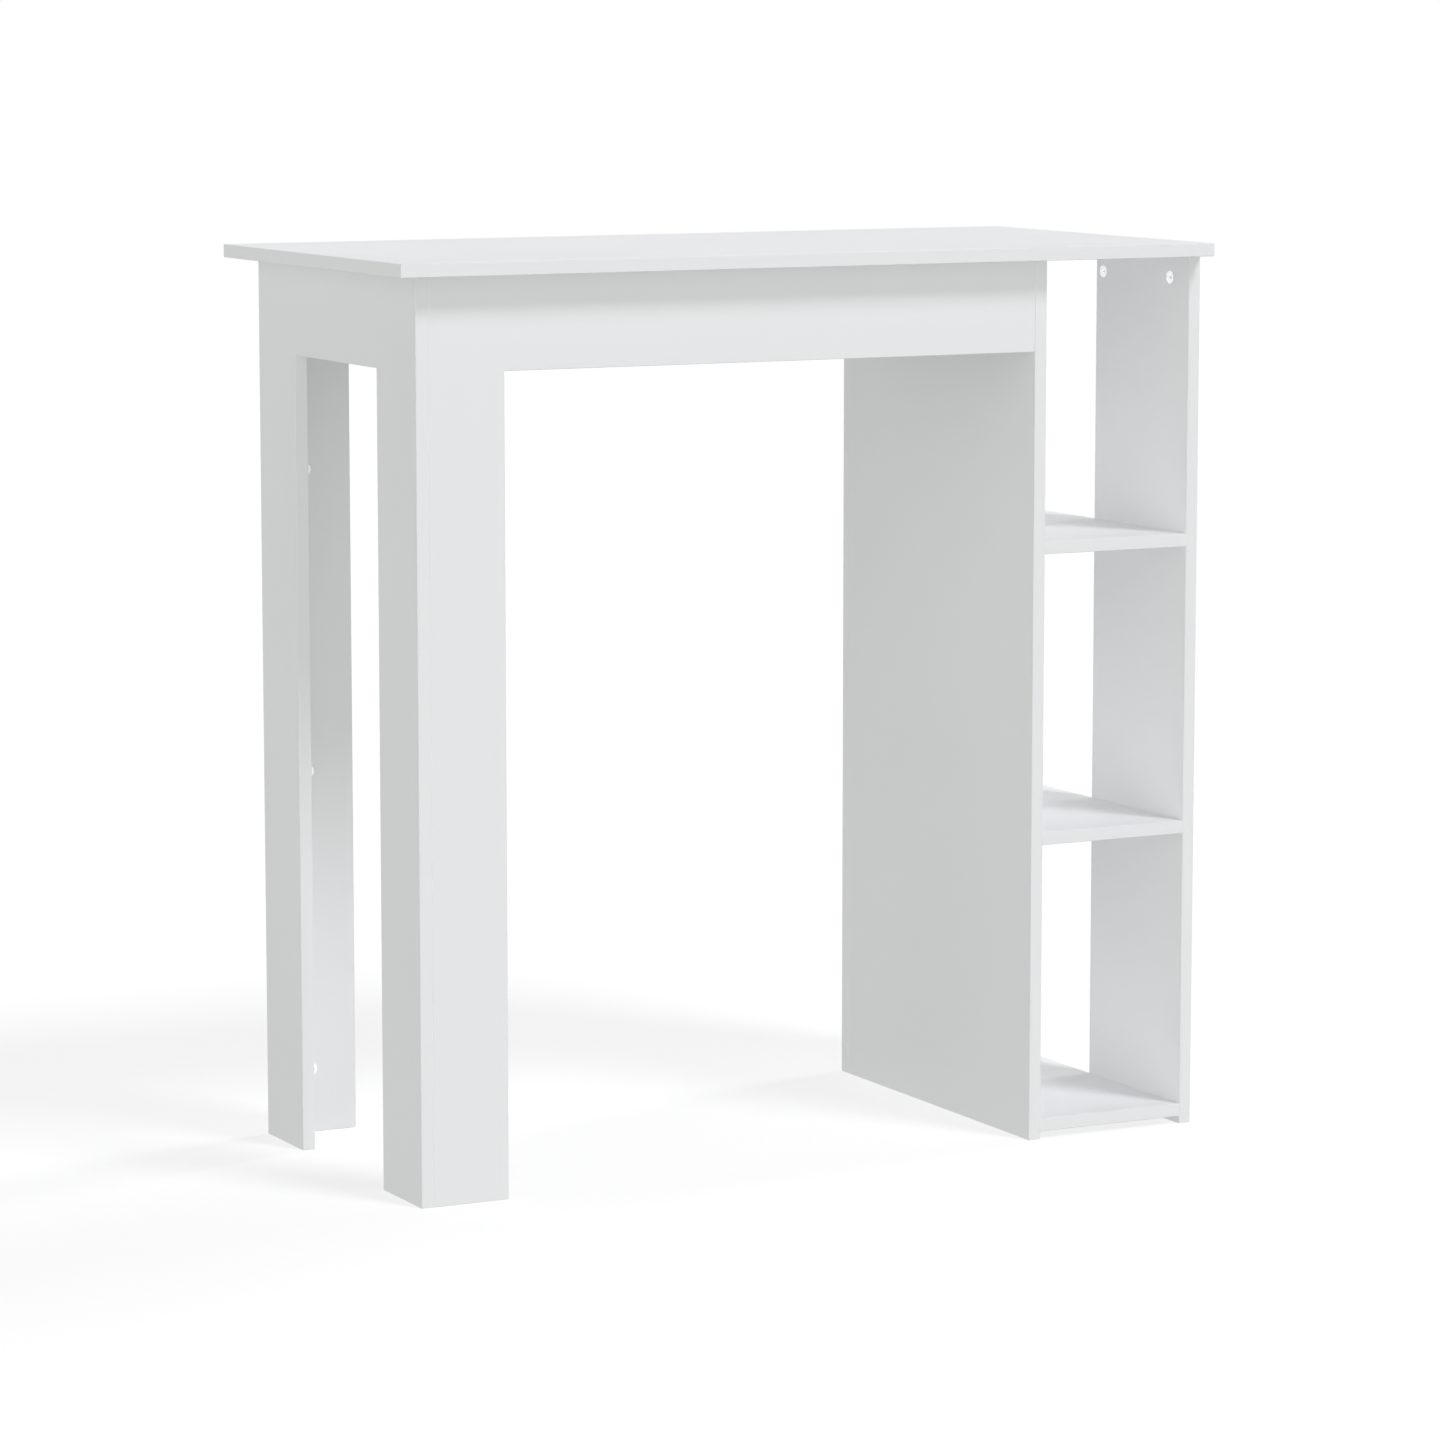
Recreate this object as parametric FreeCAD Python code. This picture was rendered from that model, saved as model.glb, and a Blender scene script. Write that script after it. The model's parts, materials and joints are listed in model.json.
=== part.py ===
import FreeCAD, Part
import os
from collections import defaultdict
from FreeCAD import Vector

# A bar table with a shelf tower, made of flat boards that cam locks and wooden dowels hold together.
# Millimetres. X runs along the table with the tower at +X, Y runs from front to rear, Z is up.
# The origin lies on the floor under the middle of the table top.

# Boards
top_length = 1020.0
top_width = 500.0
top_thickness = 15.0
table_height = 1035.0
board = 15.0                  # thickness of every board under the top
left_overhang = 30.0          # table top past the end panel
front_overhang = 30.0         # table top past the tower's front edges
rail_setback = 1.0            # front board behind the tower's front edges
rear_overhang = 30.0          # table top past the rear leg
leg_width = 105.0             # each of the two faces of a leg
rail_height = 105.0           # front, rear and end rails
shelf_width = 190.0           # clear width of the tower
outer_panel_depth = 205.0     # the panel at the open end covers the front of the tower only
bottom_gap = 9.0              # floor to bottom shelf
shelf_names = ("bottom_shelf", "middle_shelf", "top_shelf")
arris = 0.5                   # chamfer along the outline of each board face

# Cam locks, their bolts and the dowels
cam_diameter = 15.0
cam_skin = 3.0                # board left under a cam
cam_reach = 34.0              # seam to cam, in uprights and shelves
top_cam_reach = 27.0          # seam to cam, under the table top
driver_slot_length = 8.0      # cross recess in a cam's face
driver_slot_width = 1.6
driver_slot_depth = 2.0
bolt_diameter = 6.0
bolt_skin = 4.0               # board left beyond the end of a bolt or dowel
bolt_neck_diameter = 4.4
bolt_head_diameter = 7.0
bolt_head_length = 3.5
dowel_diameter = 8.0
dowel_depth = 20.0            # dowel in the edge of a board
dowel_end_gap = 0.5
fit = 0.1                     # clearance round each fitting

# Places of the fittings along the seams
upright_cam_height = 75.0     # lowest cam of an upright seam, above the floor
upright_cam_drop = 243.0      # highest cam of an upright seam, below the table top
rail_fitting_spacing = 40.0   # cam to dowel where a rail meets the tower
rail_cam_inset = 150.0        # top cams from both ends of a rail
end_cam_inset = 90.0          # top cams from both edges of the end panel
inner_cam_inset = 70.0        # top cams from both edges of the inner panel
outer_cam_front_inset = 42.0  # top cams of the outer panel, from its front edge
outer_cam_rear_inset = 15.0   # and from its rear edge
shelf_cam_inset = 70.0        # cams that hold a shelf to the inner panel, from front and rear
shelf_dowel_inset = 40.0      # dowel that holds a shelf to the outer panel, from the front

# Planes that the boards share
frame_top = table_height - top_thickness
rail_bottom = frame_top - rail_height
rail_middle = frame_top - rail_height / 2
end_outer = -top_length / 2 + left_overhang
end_inner = end_outer + board
tower_outer = top_length / 2
shelf_right = tower_outer - board
shelf_left = shelf_right - shelf_width
tower_inner = shelf_left - board
front = -top_width / 2 + front_overhang
leg_front = front + rail_setback
rear = top_width / 2 - rear_overhang
leg_right = end_outer + leg_width
shelf_middle = (shelf_left + shelf_right) / 2
outer_panel_rear = front + outer_panel_depth
shelf_pitch = (frame_top - bottom_gap) / len(shelf_names)
upright_cams = (upright_cam_height, frame_top - upright_cam_drop)
upright_middle = sum(upright_cams) / 2

X = Vector(1, 0, 0)
Y = Vector(0, 1, 0)
Z = Vector(0, 0, 1)


def box(low, high):
    return Part.makeBox(high.x - low.x, high.y - low.y, high.z - low.z, low)


def eased_board(outline, thickness):
    """A board from the corners of one face and its thickness vector, with both faces' outlines chamfered."""
    solid = Part.Face(Part.makePolygon(outline + outline[:1])).extrude(thickness)
    face_edges = [edge for edge in solid.Edges if abs(edge.tangentAt(0).dot(thickness)) < 1e-6]
    return solid.makeChamfer(arris, face_edges)


def upright_across(x, y_low, y_high):
    """A plain board of frame height that faces along X."""
    corners = [(y_low, 0), (y_high, 0), (y_high, frame_top), (y_low, frame_top)]
    return eased_board([Vector(x, y, z) for y, z in corners], X * board)


def table_top():
    left, near = -top_length / 2, -top_width / 2
    corners = [(left, near), (-left, near), (-left, -near), (left, -near)]
    return eased_board([Vector(x, y, frame_top) for x, y in corners], Z * top_thickness)


def end_panel():
    """Two leg halves and the end rail, one board with the opening sawn out."""
    corners = [(leg_front, 0), (leg_front + leg_width, 0), (leg_front + leg_width, rail_bottom),
               (rear - leg_width, rail_bottom), (rear - leg_width, 0), (rear, 0),
               (rear, frame_top), (leg_front, frame_top)]
    return eased_board([Vector(end_outer, y, z) for y, z in corners], X * board)


def leg_and_rail(y):
    """A leg half and a long rail, one L-shaped board whose nearer face lies at y."""
    corners = [(end_inner, 0), (leg_right, 0), (leg_right, rail_bottom),
               (tower_inner, rail_bottom), (tower_inner, frame_top), (end_inner, frame_top)]
    return eased_board([Vector(x, y, z) for x, z in corners], Y * board)


def back_panel():
    """The board behind the tower, from the inner panel's far face to the shelves' open ends."""
    corners = [(tower_inner, 0), (shelf_right, 0), (shelf_right, frame_top), (tower_inner, frame_top)]
    return eased_board([Vector(x, rear, z) for x, z in corners], Y * board)


def shelf(z):
    corners = [(shelf_left, front), (shelf_right, front), (shelf_right, rear), (shelf_left, rear)]
    return eased_board([Vector(x, y, z) for x, y in corners], Z * board)


boards = {
    "table_top": table_top(),
    "end_panel": end_panel(),
    "front_leg_and_rail": leg_and_rail(leg_front),
    "rear_leg_and_rail": leg_and_rail(rear - board),
    "inner_side_panel": upright_across(tower_inner, front, rear),
    "outer_side_panel": upright_across(shelf_right, front, outer_panel_rear),
    "back_panel": back_panel(),
}
shelf_heights = {name: bottom_gap + step * shelf_pitch for step, name in enumerate(shelf_names)}
for name, height in shelf_heights.items():
    boards[name] = shelf(height)

bores = defaultdict(list)     # what is drilled out of each board
fittings = defaultdict(list)  # the solids of each group of fittings


def bolt_depth(face_board):
    """How far a bolt or dowel goes into the face of a board."""
    thickness = top_thickness if face_board == "table_top" else board
    return thickness - bolt_skin


def bolt(depth, reach):
    """A headed bolt along +X: its thread below the seam at 0, its head in the cam at reach."""
    head_start = reach - bolt_head_length / 2
    neck_start = reach - cam_diameter / 2 - fit
    steps = [(-depth, 0), (-depth, bolt_diameter / 2),
             (neck_start, bolt_diameter / 2), (neck_start, bolt_neck_diameter / 2),
             (head_start, bolt_neck_diameter / 2), (head_start, bolt_head_diameter / 2),
             (head_start + bolt_head_length, bolt_head_diameter / 2), (head_start + bolt_head_length, 0)]
    profile = [Vector(x, r, 0) for x, r in steps]
    return Part.Face(Part.makePolygon(profile + profile[:1])).revolve(Vector(0, 0, 0), X, 360)


def cam():
    """A cam drum about Z with the bolt coming in along -X at height 0.

    A pocket under the drum takes the bolt's head, a slot in its wall the neck, and a cross recess the driver.
    """
    radius = cam_diameter / 2
    floor = cam_skin - board / 2
    face = board / 2
    drum = Part.makeCylinder(radius, face - floor, Vector(0, 0, floor))
    head_half = bolt_head_diameter / 2 + fit
    neck_half = bolt_neck_diameter / 2 + fit
    pocket_half = bolt_head_length / 2 + fit
    pocket = box(Vector(-pocket_half, -head_half, floor), Vector(pocket_half, head_half, head_half))
    slot = box(Vector(0, -neck_half, floor), Vector(radius, neck_half, neck_half))
    long_half = driver_slot_length / 2
    narrow_half = driver_slot_width / 2
    driver_floor = face - driver_slot_depth
    recess = [box(Vector(-a, -b, driver_floor), Vector(a, b, face))
              for a, b in ((long_half, narrow_half), (narrow_half, long_half))]
    return drum.cut([pocket, slot] + recess)


def cam_joint(face_board, edge_board, seam, inward, cam_face, reach):
    """A bolt in the face of one board, held by a cam in another that butts against it.

    seam is the bolt's point on the seam, inward points into the butting board, and cam_face points out of
    the face that the cam is let into.
    """
    depth = bolt_depth(face_board)
    bolt_end = reach + bolt_head_length / 2 + fit
    centre = seam + inward * reach
    along_bolt = FreeCAD.Placement(seam, FreeCAD.Rotation(X, inward))
    turned = FreeCAD.Placement(centre, FreeCAD.Rotation(-inward, cam_face.cross(-inward), cam_face, "ZXY"))
    fittings[face_board + "_bolts"].append(bolt(depth, reach).transformed(along_bolt.toMatrix()))
    fittings[edge_board + "_cams"].append(cam().transformed(turned.toMatrix()))
    cam_floor = centre + cam_face * (cam_skin - board / 2)
    bores[face_board].append(Part.makeCylinder(bolt_diameter / 2 + fit, depth, seam, -inward))
    bores[edge_board].append(Part.makeCylinder(bolt_head_diameter / 2 + fit, bolt_end, seam, inward))
    bores[edge_board].append(Part.makeCylinder(cam_diameter / 2 + fit, board - cam_skin, cam_floor, cam_face))


def dowel_joint(face_board, edge_board, seam, inward):
    """A dowel across the seam, part in the face of one board and part in the edge of the other."""
    depth = bolt_depth(face_board)
    start = seam - inward * (depth - dowel_end_gap)
    length = depth - dowel_end_gap + dowel_depth
    fittings[face_board + "_dowels"].append(Part.makeCylinder(dowel_diameter / 2, length, start, inward))
    bore_radius = dowel_diameter / 2 + fit
    bores[face_board].append(Part.makeCylinder(bore_radius, depth, seam, -inward))
    bores[edge_board].append(Part.makeCylinder(bore_radius, dowel_depth + dowel_end_gap, seam, inward))


def join_leg_and_rail(name, y, inside):
    """Fittings of the front or rear board: to the end panel, the tower and the table top."""
    for z in upright_cams + (upright_middle,):
        cam_joint("end_panel", name, Vector(end_inner, y, z), X, inside, cam_reach)
    dowel_joint("end_panel", name, Vector(end_inner, y, rail_middle), X)
    cam_seam = Vector(tower_inner, y, rail_middle - rail_fitting_spacing / 2)
    cam_joint("inner_side_panel", name, cam_seam, -X, inside, cam_reach)
    dowel_joint("inner_side_panel", name, cam_seam + Z * rail_fitting_spacing, -X)
    for x in (end_inner + rail_cam_inset, tower_inner - rail_cam_inset):
        cam_joint("table_top", name, Vector(x, y, frame_top), -Z, inside, top_cam_reach)


def join_shelf(name, height):
    """Fittings of a shelf: to both side panels and the back. Its cams are let into its underside."""
    z = height + board / 2
    outer_middle_y = front + outer_panel_depth / 2
    for y in (front + shelf_cam_inset, rear - shelf_cam_inset):
        cam_joint("inner_side_panel", name, Vector(shelf_left, y, z), X, -Z, cam_reach)
    dowel_joint("inner_side_panel", name, Vector(shelf_left, (front + rear) / 2, z), X)
    cam_joint("outer_side_panel", name, Vector(shelf_right, outer_middle_y, z), -X, -Z, cam_reach)
    dowel_joint("outer_side_panel", name, Vector(shelf_right, front + shelf_dowel_inset, z), -X)
    dowel_joint("back_panel", name, Vector(shelf_middle, rear, z), -Y)


join_leg_and_rail("front_leg_and_rail", leg_front + board / 2, Y)
join_leg_and_rail("rear_leg_and_rail", rear - board / 2, -Y)
for name, height in shelf_heights.items():
    join_shelf(name, height)

# The upright boards under the table top
end_middle = end_outer + board / 2
inner_middle = tower_inner + board / 2
outer_middle = shelf_right + board / 2
for y in (leg_front + end_cam_inset, rear - end_cam_inset):
    cam_joint("table_top", "end_panel", Vector(end_middle, y, frame_top), -Z, X, top_cam_reach)
for y in (front + inner_cam_inset, rear - inner_cam_inset):
    cam_joint("table_top", "inner_side_panel", Vector(inner_middle, y, frame_top), -Z, X, top_cam_reach)
for y in (front + outer_cam_front_inset, outer_panel_rear - outer_cam_rear_inset):
    cam_joint("table_top", "outer_side_panel", Vector(outer_middle, y, frame_top), -Z, -X, top_cam_reach)
cam_joint("table_top", "back_panel", Vector(shelf_middle, rear + board / 2, frame_top), -Z, -Y, top_cam_reach)

# The inner panel's rear edge against the back panel
for z in upright_cams:
    cam_joint("back_panel", "inner_side_panel", Vector(inner_middle, rear, z), -Y, X, cam_reach)
dowel_joint("back_panel", "inner_side_panel", Vector(inner_middle, rear, upright_middle), -Y)

os.makedirs("parts", exist_ok=True)
for name, solid in boards.items():
    solid.cut(bores[name]).exportStep(f"parts/{name}.step")
for name, solids in fittings.items():
    Part.makeCompound(solids).exportStep(f"parts/{name}.step")
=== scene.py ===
import json
import math

import bpy
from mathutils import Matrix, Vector


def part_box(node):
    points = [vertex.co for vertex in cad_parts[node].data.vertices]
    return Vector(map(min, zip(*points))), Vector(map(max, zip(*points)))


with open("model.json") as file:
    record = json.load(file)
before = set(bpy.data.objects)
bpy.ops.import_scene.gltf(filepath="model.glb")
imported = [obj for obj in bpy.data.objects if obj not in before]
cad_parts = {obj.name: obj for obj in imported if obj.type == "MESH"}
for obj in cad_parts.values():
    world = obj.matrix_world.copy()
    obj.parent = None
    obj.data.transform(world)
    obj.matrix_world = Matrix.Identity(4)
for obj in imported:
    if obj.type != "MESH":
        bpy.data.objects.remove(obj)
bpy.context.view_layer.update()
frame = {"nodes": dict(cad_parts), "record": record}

# A white bar table with a shelf tower. Metres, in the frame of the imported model:
# X runs along the table with the tower at +X, Y from front to rear, Z up from the floor.
# Angles are in degrees. An azimuth is measured from the front, to the right.

# Camera
view_azimuth = -27.26                  # from the left of the front
view_elevation = 7.8
view_distance = 6.22
aim_height = 0.484
sensor_width = 36.0                    # millimetres
lens = 134.06                          # millimetres

# Studio
white = (1.0, 1.0, 1.0)
surround_strength = 0.795              # level with the table
ceiling_strength = 0.033               # straight above
ground_strength = 0.250                # straight below
surround_colour = (0.981, 1.0, 0.983)
backdrop_strength = 1.0                # as the camera sees it
diffuse_bounces = 12                   # light goes back and forth between the white boards

# Lights. A width is how wide the light looks from the table.
lamp_distance = 5.0                    # where a light's object stands; it shines the same from anywhere
lights = {
    "key": {"strength": 1.294, "colour": (0.955, 0.947, 1.0),
            "azimuth": 26.7, "elevation": 51.0, "width": 16.0},
    "side": {"strength": 0.87, "colour": white,
             "azimuth": 101.0, "elevation": 34.0, "width": 16.0},
    "fill": {"strength": 0.515, "colour": (0.986, 1.0, 0.988),
             "azimuth": -45.0, "elevation": 12.0, "width": 80.0},
    # only there to lift the rear faces
    "back": {"strength": 0.35, "colour": white,
             "azimuth": 180.0, "elevation": 12.0, "width": 30.0, "on_gloss": False},
    # a white card that only shows in what shines
    "card": {"strength": 3.3, "colour": white,
             "azimuth": -26.0, "elevation": -10.0, "width": 36.0, "on_matt": False},
}

# Floor
floor_reach = 40.0
floor_colour = (0.90, 0.90, 0.90)
floor_white = 1.24                     # where the floor is seen, plain white ...
floor_shadow = 0.45                    # ... with this share of the light and shadow that fall on it

# White melamine board. How far a normal turns to the board's thickness tells its faces from its edges,
# and the chamfers between them carry the joint line of the edge band.
face_turn = (0.85, 0.95)
edge_turn = (0.50, 0.30)
face_colour = (0.908, 0.910, 0.914)
edge_colour = (0.910, 0.912, 0.915)
seam_colour = (0.893, 0.895, 0.897)
face_roughness = (0.50, 0.60)
edge_roughness = 0.45
board_gloss = 0.3
cloud_noise = {"size": 0.35}
cloud_shade = 0.985                    # a darker face colour, as a share of the plain one ...
cloud_share = (0.0, 0.35)              # ... and how much of it the clouds mix in
pearl_noise = {"size": 0.0006, "detail": 3.0, "roughness": 0.6}
pearl_bump = {"Distance": 0.00001, "Strength": 0.5}

# Metal of the cams and bolts
zinc_colour = (0.92, 0.92, 0.925)
zinc_roughness = (0.96, 1.0)
steel_colour = (0.70, 0.70, 0.72)
steel_roughness = (0.25, 0.40)
grain_noise = {"size": 0.0008, "detail": 4.0}
grain_shade = 0.94                     # of the metal's colour, in the grain's hollows
grain_bump = {"Distance": 0.00003, "Strength": 0.5}

# Beech of the dowels
beech_light = (0.74, 0.57, 0.38)
beech_dark = (0.60, 0.43, 0.26)
beech_roughness = (0.75, 0.6)
fibre_noise = {"size": 0.0012, "detail": 5.0, "roughness": 0.7}
fibre_bump = {"Distance": 0.00005, "Strength": 0.6}

# The range of a noise that is spread over a finish
noise_range = (0.3, 0.7)
fleck_range = (0.35, 0.65)
polish_range = (0.2, 0.8)

# A Mix node repeats the names of its sockets, so they go by number: first input, second input, result.
mix_sockets = {"FLOAT": (2, 3, 0), "RGBA": (6, 7, 2)}


def new_material(name):
    material = bpy.data.materials.new(name)
    material.use_nodes = True
    return material, material.node_tree


def set_inputs(tree, node, inputs):
    """Gives a node its inputs: a value sets a socket, another socket links to it."""
    for name, value in inputs.items():
        socket = node.inputs[name]
        if isinstance(value, bpy.types.NodeSocket):
            tree.links.new(value, socket)
        else:
            socket.default_value = value


def add_node(tree, kind, inputs=None, **settings):
    """A shader node with its settings and its inputs."""
    node = tree.nodes.new(kind)
    for name, value in settings.items():
        setattr(node, name, value)
    set_inputs(tree, node, inputs or {})
    return node


def rgba(colour, shade=1.0):
    return (*(part * shade for part in colour), 1.0)


def noise(tree, position, size, detail=2.0, roughness=0.5):
    """Noise from 0 to 1 with features of about the given size."""
    node = add_node(tree, "ShaderNodeTexNoise",
                    {"Vector": position, "Scale": 1.0 / size, "Detail": detail, "Roughness": roughness})
    return node.outputs["Fac"]


def ramp(tree, value, source, target=(0.0, 1.0)):
    """A value's source range, spread smoothly over the target range."""
    node = add_node(tree, "ShaderNodeMapRange",
                    {"Value": value, "From Min": source[0], "From Max": source[1],
                     "To Min": target[0], "To Max": target[1]},
                    interpolation_type="SMOOTHSTEP")
    return node.outputs["Result"]


def mixed(tree, kind, factor, first, second):
    """Two numbers (FLOAT) or colours (RGBA): the first where factor is 0, the second where it is 1."""
    at_first, at_second, at_result = mix_sockets[kind]
    node = add_node(tree, "ShaderNodeMix", {0: factor, at_first: first, at_second: second}, data_type=kind)
    return node.outputs[at_result]


def arithmetic(tree, operation, first, second):
    node = add_node(tree, "ShaderNodeMath", {0: first, 1: second}, operation=operation)
    return node.outputs[0]


def bumped(tree, height, relief):
    """The normals of a surface with that height, by the distance and strength of relief."""
    return add_node(tree, "ShaderNodeBump", {"Height": height, **relief}).outputs["Normal"]


def melamine(thickness_axis):
    """White melamine board, thin along X, Y or Z: pearl-textured faces, smooth edge bands, joint lines."""
    material, tree = new_material(f"white_melamine_{thickness_axis}")
    place = add_node(tree, "ShaderNodeTexCoord")
    position = place.outputs["Object"]
    normal = add_node(tree, "ShaderNodeSeparateXYZ", {"Vector": place.outputs["Normal"]})
    turn = add_node(tree, "ShaderNodeMath", {0: normal.outputs[thickness_axis]}, operation="ABSOLUTE")
    on_face = ramp(tree, turn.outputs[0], face_turn)
    on_edge = ramp(tree, turn.outputs[0], edge_turn)
    on_seam = arithmetic(tree, "SUBTRACT", 1.0, arithmetic(tree, "ADD", on_face, on_edge))

    clouds = noise(tree, position, **cloud_noise)
    pearl = noise(tree, position, **pearl_noise)
    shade = ramp(tree, clouds, noise_range, cloud_share)
    colour = mixed(tree, "RGBA", shade, rgba(face_colour), rgba(face_colour, cloud_shade))
    colour = mixed(tree, "RGBA", on_edge, colour, rgba(edge_colour))
    colour = mixed(tree, "RGBA", on_seam, colour, rgba(seam_colour))
    polish = ramp(tree, clouds, noise_range, face_roughness)
    height = arithmetic(tree, "MULTIPLY", pearl, on_face)
    set_inputs(tree, tree.nodes["Principled BSDF"], {
        "Base Color": colour,
        "Roughness": mixed(tree, "FLOAT", on_edge, polish, edge_roughness),
        "Specular IOR Level": board_gloss,
        "Normal": bumped(tree, height, pearl_bump),
    })
    return material


def metal(name, colour, roughness):
    """Bright metal with fine casting or plating grain."""
    material, tree = new_material(name)
    position = add_node(tree, "ShaderNodeTexCoord").outputs["Object"]
    grain = noise(tree, position, **grain_noise)
    set_inputs(tree, tree.nodes["Principled BSDF"], {
        "Base Color": mixed(tree, "RGBA", grain, rgba(colour, grain_shade), rgba(colour)),
        "Roughness": ramp(tree, grain, noise_range, roughness),
        "Metallic": 1.0,
        "Normal": bumped(tree, grain, grain_bump),
    })
    return material


def beech():
    """Pale beech with dark flecks."""
    material, tree = new_material("beech")
    position = add_node(tree, "ShaderNodeTexCoord").outputs["Object"]
    fibre = noise(tree, position, **fibre_noise)
    flecks = ramp(tree, fibre, fleck_range)
    set_inputs(tree, tree.nodes["Principled BSDF"], {
        "Base Color": mixed(tree, "RGBA", flecks, rgba(beech_dark), rgba(beech_light)),
        "Roughness": ramp(tree, fibre, polish_range, beech_roughness),
        "Normal": bumped(tree, fibre, fibre_bump),
    })
    return material


def seen_directly(tree):
    """1 for rays from the camera and for those that metal or glass sends on, 0 for diffuse light."""
    path = add_node(tree, "ShaderNodeLightPath")
    total = arithmetic(tree, "ADD", path.outputs["Is Camera Ray"], path.outputs["Is Glossy Ray"])
    total = arithmetic(tree, "ADD", total, path.outputs["Is Transmission Ray"])
    return arithmetic(tree, "MINIMUM", 1.0, total)


def dress_nodes():
    """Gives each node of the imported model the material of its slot."""
    axes = "XYZ"
    boards = {axis: melamine(axis) for axis in axes}
    finishes = {
        "cam_zinc": metal("zinc", zinc_colour, zinc_roughness),
        "bolt_steel": metal("plated_steel", steel_colour, steel_roughness),
        "dowel_beech": beech(),
    }
    slots = {part["node"]: part["material_slot"] for part in frame["record"]["subparts"]}
    for name, node in frame["nodes"].items():
        if slots[name] == "white_board":
            low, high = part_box(name)
            size = list(high - low)
            finish = boards[axes[size.index(min(size))]]
        else:
            finish = finishes[slots[name]]
        node.data.materials.clear()
        node.data.materials.append(finish)


def floor():
    """A white floor with a faint shadow. The light that it throws back is part of the studio's."""
    mesh = bpy.data.meshes.new("floor")
    r = floor_reach
    mesh.from_pydata([(-r, -r, 0), (r, -r, 0), (r, r, 0), (-r, r, 0)], [], [(0, 1, 2, 3)])
    plane = bpy.data.objects.new("floor", mesh)
    bpy.context.scene.collection.objects.link(plane)
    material, tree = new_material("pale_floor")
    tree.nodes.remove(tree.nodes["Principled BSDF"])
    matt = add_node(tree, "ShaderNodeBsdfDiffuse", {"Color": rgba(floor_colour)})
    plain = add_node(tree, "ShaderNodeEmission", {"Strength": floor_white})
    share = arithmetic(tree, "MULTIPLY", seen_directly(tree), 1.0 - floor_shadow)
    both = add_node(tree, "ShaderNodeMixShader", {0: share, 1: matt.outputs[0], 2: plain.outputs[0]})
    set_inputs(tree, tree.nodes["Material Output"], {"Surface": both.outputs[0]})
    mesh.materials.append(material)
    plane.visible_diffuse = False
    plane.visible_shadow = False


def surroundings():
    """A white studio, bright all round, darker overhead and underfoot."""
    world = bpy.data.worlds.new("studio")
    bpy.context.scene.world = world
    world.use_nodes = True
    tree = world.node_tree
    seen = seen_directly(tree)
    place = add_node(tree, "ShaderNodeTexCoord")
    towards = add_node(tree, "ShaderNodeSeparateXYZ", {"Vector": place.outputs["Generated"]})
    upper = add_node(tree, "ShaderNodeMapRange",
                     {"Value": towards.outputs["Z"], "From Min": 0.0, "From Max": 1.0,
                      "To Min": surround_strength, "To Max": ceiling_strength})
    light = add_node(tree, "ShaderNodeMapRange",
                     {"Value": towards.outputs["Z"], "From Min": 0.0, "From Max": -1.0,
                      "To Min": upper.outputs["Result"], "To Max": ground_strength})
    set_inputs(tree, tree.nodes["Background"], {
        "Strength": mixed(tree, "FLOAT", seen, light.outputs["Result"], backdrop_strength),
        "Color": mixed(tree, "RGBA", seen, rgba(surround_colour), rgba(white)),
    })


def direction(azimuth, elevation):
    """Unit vector from the table towards a place at that azimuth and elevation."""
    turn = math.radians(azimuth)
    rise = math.radians(elevation)
    level = math.cos(rise)
    return Vector((math.sin(turn) * level, -math.cos(turn) * level, math.sin(rise)))


def soft_light(name, strength, colour, azimuth, elevation, width, on_matt=True, on_gloss=True):
    """A light far off, of the same strength all over the table."""
    lamp = bpy.data.lights.new(name, "SUN")
    lamp.energy = strength
    lamp.color = colour
    lamp.angle = math.radians(width)
    light = bpy.data.objects.new(name, lamp)
    light.visible_diffuse = on_matt
    light.visible_glossy = on_gloss
    bpy.context.scene.collection.objects.link(light)
    towards = direction(azimuth, elevation)
    light.location = towards * lamp_distance
    light.rotation_euler = towards.to_track_quat("Z", "Y").to_euler()


def camera():
    data = bpy.data.cameras.new("camera")
    data.sensor_width = sensor_width
    data.lens = lens
    eye = bpy.data.objects.new("camera", data)
    bpy.context.scene.collection.objects.link(eye)
    towards = direction(view_azimuth, view_elevation)
    eye.location = Vector((0, 0, aim_height)) + towards * view_distance
    eye.rotation_euler = towards.to_track_quat("Z", "Y").to_euler()
    bpy.context.scene.camera = eye


dress_nodes()
floor()
surroundings()
for name, light in lights.items():
    soft_light(name, **light)
camera()
bpy.context.scene.view_settings.view_transform = "Standard"
bpy.context.scene.cycles.diffuse_bounces = diffuse_bounces
